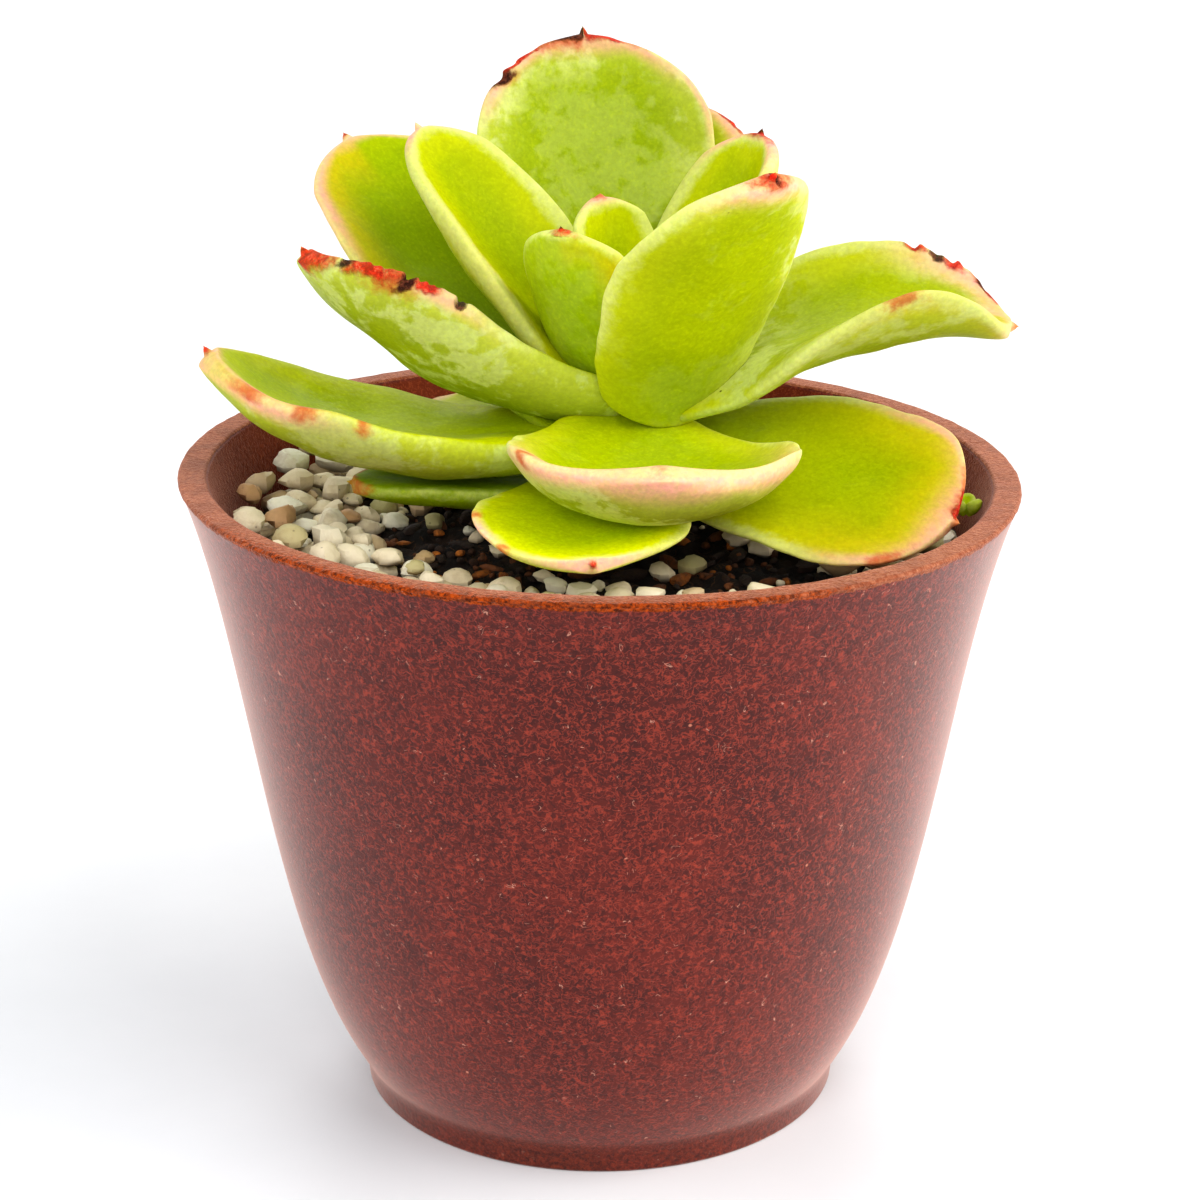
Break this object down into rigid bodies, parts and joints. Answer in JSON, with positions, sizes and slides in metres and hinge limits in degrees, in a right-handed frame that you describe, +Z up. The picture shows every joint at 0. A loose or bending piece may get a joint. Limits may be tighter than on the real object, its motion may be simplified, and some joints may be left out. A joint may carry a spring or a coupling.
{
  "type": "potted succulent",
  "caption": "Rosette succulent with thick cupped leaves on a short stem, growing in a round tapered pot filled with soil and topped with pale gravel; stands on its foot.",
  "frame": {"origin": "centre of the pot's foot, on the surface that it stands on", "axes": "+Z up; the side with the broad low front leaf faces -Y"},
  "size_m": [0.12, 0.12, 0.1521],
  "materials": {
    "pot": "satin, mottled with fine fibres, worn at the rim",
    "soil": "dark crumbly potting soil with bark chips",
    "stem": "matt, slightly woody",
    "leaf": "waxy, fleshy, pink to red along the margins",
    "gravel": "matt cream and pale grey stone"
  },
  "bodies": {
    "root": {"pot": "pot", "soil": "soil", "stem": "stem", "bud_front": "leaf", "bud_back": "leaf", "leaf_centre_front": "leaf", "leaf_centre_back": "leaf", "leaf_back_top": "leaf", "leaf_right_inner": "leaf", "leaf_front_right": "leaf", "leaf_left_inner": "leaf", "leaf_back_right": "leaf", "leaf_left_back": "leaf", "leaf_left_mid": "leaf", "leaf_right_wavy": "leaf", "leaf_front_mid": "leaf", "leaf_left_low": "leaf", "leaf_right_front": "leaf", "leaf_front_low": "leaf", "leaf_back_mid": "leaf", "leaf_back_right_low": "leaf", "leaf_left_bottom": "leaf", "leaf_back_left_low": "leaf", "leaf_right_low": "leaf", "pebble_1": "gravel", "pebble_2": "gravel", "pebble_3": "gravel", "pebble_4": "gravel", "pebble_5": "gravel", "pebble_6": "gravel", "pebble_7": "gravel", "pebble_8": "gravel", "pebble_9": "gravel", "pebble_10": "gravel", "pebble_11": "gravel", "pebble_12": "gravel", "pebble_13": "gravel", "pebble_14": "gravel", "pebble_15": "gravel", "pebble_16": "gravel", "pebble_17": "gravel", "pebble_18": "gravel", "pebble_19": "gravel", "pebble_20": "gravel", "pebble_21": "gravel", "pebble_22": "gravel", "pebble_23": "gravel", "pebble_24": "gravel", "pebble_25": "gravel", "pebble_26": "gravel", "pebble_27": "gravel", "pebble_28": "gravel", "pebble_29": "gravel", "pebble_30": "gravel", "pebble_31": "gravel", "pebble_32": "gravel", "pebble_33": "gravel", "pebble_34": "gravel"}
  },
  "joints": []
}
